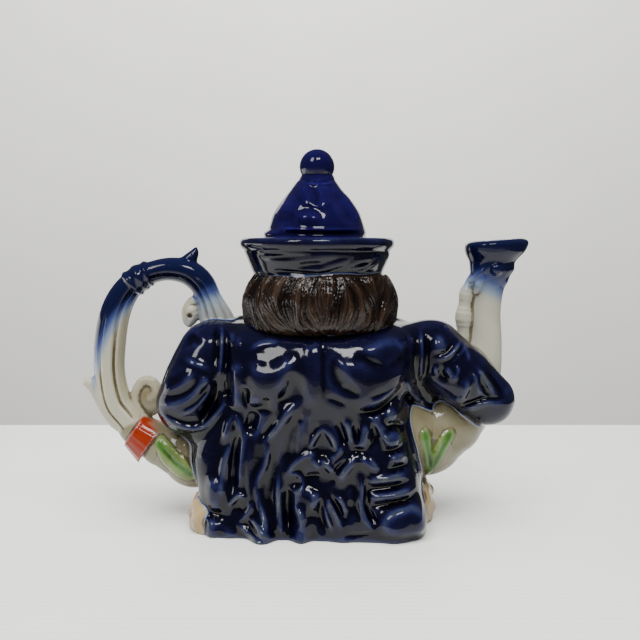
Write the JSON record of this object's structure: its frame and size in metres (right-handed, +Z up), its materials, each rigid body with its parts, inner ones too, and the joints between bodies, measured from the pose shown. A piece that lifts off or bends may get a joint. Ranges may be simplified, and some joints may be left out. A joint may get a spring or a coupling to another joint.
{
  "type": "figural teapot",
  "caption": "Glazed ceramic teapot shaped as a squat seated figure in a coat, with a scrolled handle, a curved spout and the crown of its hat as a lift-off lid.",
  "frame": {"origin": "on the flat underside, below the axis of the hat and its lid", "axes": "+X towards the spout, -X towards the handle, -Y towards the figure's back, +Y towards its face, +Z up"},
  "size_m": [0.2376, 0.1173, 0.1956],
  "materials": {
    "body_glaze": "glossy lead-style glaze on white earthenware: cobalt coat and hat brim, dark brown hair, cream handle and spout shaded with blue, green leaves and an orange band",
    "lid_glaze": "glossy cobalt glaze on white earthenware, pooled darker in the creases"
  },
  "bodies": {
    "root": {"teapot_body": "body_glaze", "hat_lid": "lid_glaze"}
  },
  "joints": []
}
